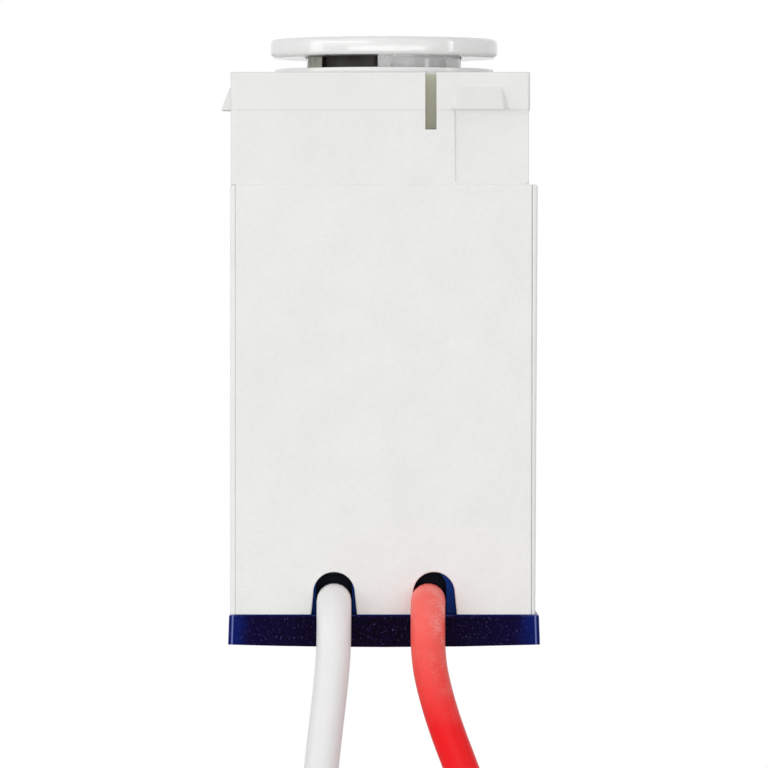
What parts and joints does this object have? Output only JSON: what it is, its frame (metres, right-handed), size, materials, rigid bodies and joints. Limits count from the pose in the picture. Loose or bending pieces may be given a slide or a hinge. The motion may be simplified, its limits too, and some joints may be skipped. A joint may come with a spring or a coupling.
{
  "type": "smart dimmer switch",
  "caption": "Snap-in smart dimmer mechanism: a round push button on a square white housing with snap catches, a blue base and two flying leads, one white and one red.",
  "frame": {"origin": "middle of the housing, in the plane of the shoulder that stops against the wall plate", "axes": "+Z out of the wall along the button's axis, -Y towards the side that the leads leave, +X towards the snap tongues"},
  "size_m": [0.0256, 0.0296, 0.1468],
  "materials": {
    "white_moulding": "fine spark-eroded texture",
    "neck_moulding": "satin",
    "blue_translucent": "translucent, slightly mottled",
    "collar_moulding": "satin",
    "button_moulding": "satin",
    "smoked_clear": "smoked, one end frosted",
    "spring_steel": "drawn wire",
    "black_moulding": "matt",
    "brown_moulding": "matt",
    "lamp_resin": "clear resin",
    "circuit_board": "solder resist on glass epoxy",
    "gold_pins": "gold flash",
    "tinned_steel": "tinned",
    "epoxy_case": "moulded epoxy",
    "grey_silicone": "matt",
    "aluminium_sheet": "rolled",
    "yellow_film_case": "smooth",
    "blue_epoxy": "dipped",
    "aluminium_can": "drawn can",
    "ferrite": "sintered",
    "enamelled_copper": "enamelled wire",
    "grey_moulding": "matt",
    "screw_steel": "zinc plated",
    "bare_copper": "bright",
    "white_pvc": "satin",
    "red_pvc": "satin, lightly scuffed"
  },
  "bodies": {
    "housing": {"rear_shell": "white_moulding", "front_panel": "white_moulding", "neck_housing": "neck_moulding", "base_cap": "blue_translucent", "button_collar": "collar_moulding", "return_spring": "spring_steel", "switch_body": "black_moulding", "indicator_lamp": "lamp_resin", "control_board": "circuit_board", "power_board": "circuit_board", "pin_header": "black_moulding", "header_pins": "gold_pins", "radio_board": "circuit_board", "radio_can": "tinned_steel", "left_transistor": "epoxy_case", "right_transistor": "epoxy_case", "thermal_pad": "grey_silicone", "heat_spreader": "aluminium_sheet", "film_capacitor": "yellow_film_case", "varistor": "blue_epoxy", "electrolytic_capacitor": "aluminium_can", "choke_core": "ferrite", "choke_winding": "enamelled_copper", "thermal_fuse": "black_moulding", "rectifier": "epoxy_case", "lead_clamp": "grey_moulding", "clamp_screw": "screw_steel", "white_lead_core": "bare_copper", "red_lead_core": "bare_copper", "white_lead": "white_pvc", "white_lead_tip": "bare_copper", "red_lead": "red_pvc", "red_lead_tip": "bare_copper"},
    "button": {"button_cap": "button_moulding", "light_guide": "smoked_clear"},
    "plunger": {"switch_plunger": "brown_moulding"}
  },
  "joints": [
    {"name": "button_press", "type": "slide", "parent": "housing", "child": "button", "axis": [0, 0, -1], "range_m": [0, 0.0005], "stiffness_N_per_m": 2500, "springref_m": -0.0004, "deforming": ["return_spring"]},
    {"name": "plunger_press", "type": "slide", "parent": "housing", "child": "plunger", "axis": [0, 0, -1], "range_m": [0, 0.0005]}
  ],
  "couplings": [
    {"joint": "plunger_press", "follows": "button_press", "ratio": 1}
  ]
}
